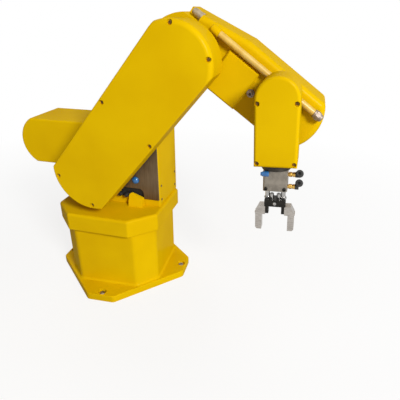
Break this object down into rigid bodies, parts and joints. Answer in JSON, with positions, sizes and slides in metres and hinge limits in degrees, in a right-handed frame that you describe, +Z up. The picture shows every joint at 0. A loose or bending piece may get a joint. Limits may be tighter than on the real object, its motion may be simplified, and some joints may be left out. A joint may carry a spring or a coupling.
{
  "type": "industrial robot arm",
  "caption": "Benchtop yellow robot arm on a bolted octagonal foot: turning tower, offset upper arm, forearm, pitching wrist and a parallel air gripper with sliding L-shaped fingers.",
  "frame": {"origin": "on the floor under the waist axis, at the centre of the foot's underside", "axes": "+Z up along the waist axis, +X along the arm's reach, +Y across the arm to its far side"},
  "size_m": [0.498, 0.2406, 0.4503],
  "materials": {
    "yellow_paint": "satin gloss paint",
    "dark_steel": "blackened",
    "bare_plate": "brushed, warm grey",
    "shaft_steel": "ground",
    "black_rubber": "matte",
    "blue_plastic": "gloss",
    "cream_hose": "semi-clear cream",
    "nickel": "nickel plate",
    "grey_plastic": "satin",
    "grey_aluminium": "anodised grey",
    "chrome_rod": "polished",
    "black_anodised": "black anodised",
    "bright_aluminium": "milled",
    "brass": "bright",
    "black_plastic": "satin"
  },
  "bodies": {
    "base": {"base_casting": "yellow_paint", "waist_ring": "dark_steel"},
    "turret": {"turret_skirt": "yellow_paint", "column_body": "yellow_paint", "column_side_plate": "bare_plate", "shoulder_bearing": "dark_steel", "cable_insert": "black_rubber", "cable_hood": "yellow_paint", "blue_port": "blue_plastic", "rear_housing": "yellow_paint"},
    "upper_arm": {"upper_arm_casting": "yellow_paint", "upper_arm_cover": "yellow_paint", "shoulder_shaft": "shaft_steel", "elbow_shaft": "shaft_steel"},
    "forearm": {"forearm_casting": "yellow_paint", "elbow_collar": "dark_steel", "wrist_collar": "dark_steel", "forearm_panel": "yellow_paint", "forearm_back_cover": "yellow_paint", "air_hose": "cream_hose", "hose_rear_fitting": "yellow_paint", "hose_front_fitting": "nickel", "air_port": "nickel", "conduit_gland": "grey_plastic"},
    "wrist": {"wrist_casting": "yellow_paint", "wrist_cover": "yellow_paint", "wrist_shaft": "shaft_steel"},
    "tool": {"tool_flange": "dark_steel", "gripper_body": "grey_aluminium", "guide_rods": "chrome_rod", "jaw_guide": "black_anodised", "upper_air_fitting": "brass", "lower_air_fitting": "brass", "upper_knob": "black_plastic", "lower_knob": "black_plastic", "blue_fitting": "blue_plastic"},
    "left_finger_body": {"left_jaw": "black_anodised", "left_finger": "bright_aluminium"},
    "right_finger_body": {"right_jaw": "black_anodised", "right_finger": "bright_aluminium"}
  },
  "joints": [
    {"name": "waist", "type": "hinge", "parent": "base", "child": "turret", "pos_m": [0, 0, 0.13], "axis": [0, 0, 1], "range_deg": [-150, 150]},
    {"name": "shoulder", "type": "hinge", "parent": "turret", "child": "upper_arm", "pos_m": [0, -0.04, 0.2245], "axis": [0, 1, 0], "range_deg": [-80, 30]},
    {"name": "elbow", "type": "hinge", "parent": "upper_arm", "child": "forearm", "pos_m": [0.13288, -0.035, 0.38008], "axis": [0, -1, 0], "range_deg": [-28, 72]},
    {"name": "wrist_pitch", "type": "hinge", "parent": "forearm", "child": "wrist", "pos_m": [0.2725, -0.04, 0.321], "axis": [0, 1, 0], "range_deg": [-110, 45]},
    {"name": "tool_roll", "type": "hinge", "parent": "wrist", "child": "tool", "pos_m": [0.27575, -0.067, 0.25909], "axis": [0.0523, 0, -0.9986], "range_deg": [-180, 180]},
    {"name": "left_jaw_slide", "type": "slide", "parent": "tool", "child": "left_finger_body", "axis": [0.9986, 0, 0.0523], "range_m": [0, 0.008]},
    {"name": "right_jaw_slide", "type": "slide", "parent": "tool", "child": "right_finger_body", "axis": [-0.9986, 0, -0.0523], "range_m": [0, 0.008]}
  ],
  "couplings": [
    {"joint": "right_jaw_slide", "follows": "left_jaw_slide", "ratio": 1}
  ]
}
